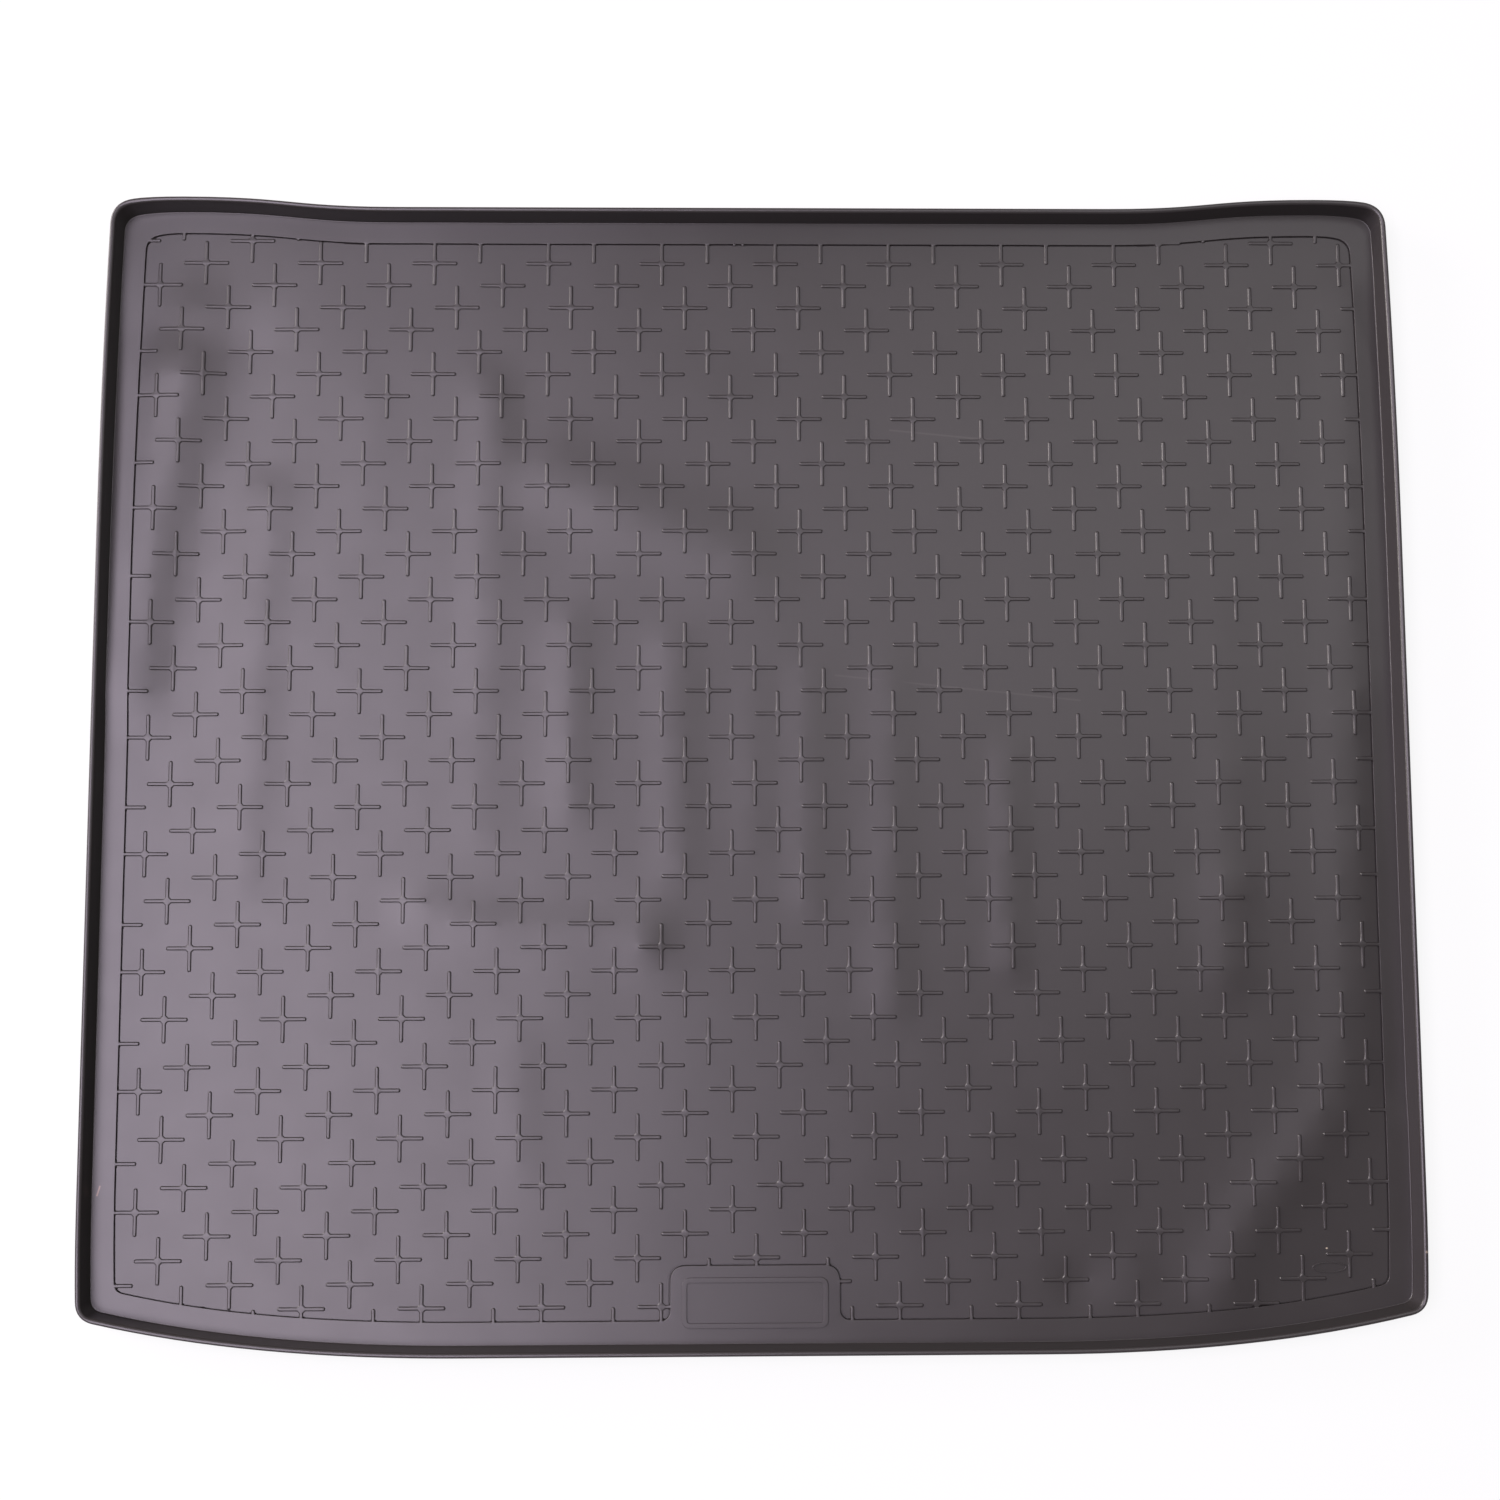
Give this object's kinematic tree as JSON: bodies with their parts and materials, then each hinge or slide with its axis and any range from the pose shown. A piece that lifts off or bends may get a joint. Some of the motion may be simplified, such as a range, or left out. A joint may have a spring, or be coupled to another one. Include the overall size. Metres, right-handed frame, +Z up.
{
  "type": "car boot liner",
  "caption": "Shallow moulded rubber tray for a car boot floor, with a turned-up wall all round and a floor of raised cross ribs.",
  "frame": {"origin": "under the middle of the tray, on the surface that it lies on", "axes": "+X across the car, +Y towards the back seats, +Z up"},
  "size_m": [1.0684, 0.941, 0.023],
  "materials": {
    "moulded_rubber": "fine matt grain from the mould, soft sheen"
  },
  "bodies": {
    "root": {"boot_liner": "moulded_rubber"}
  },
  "joints": []
}
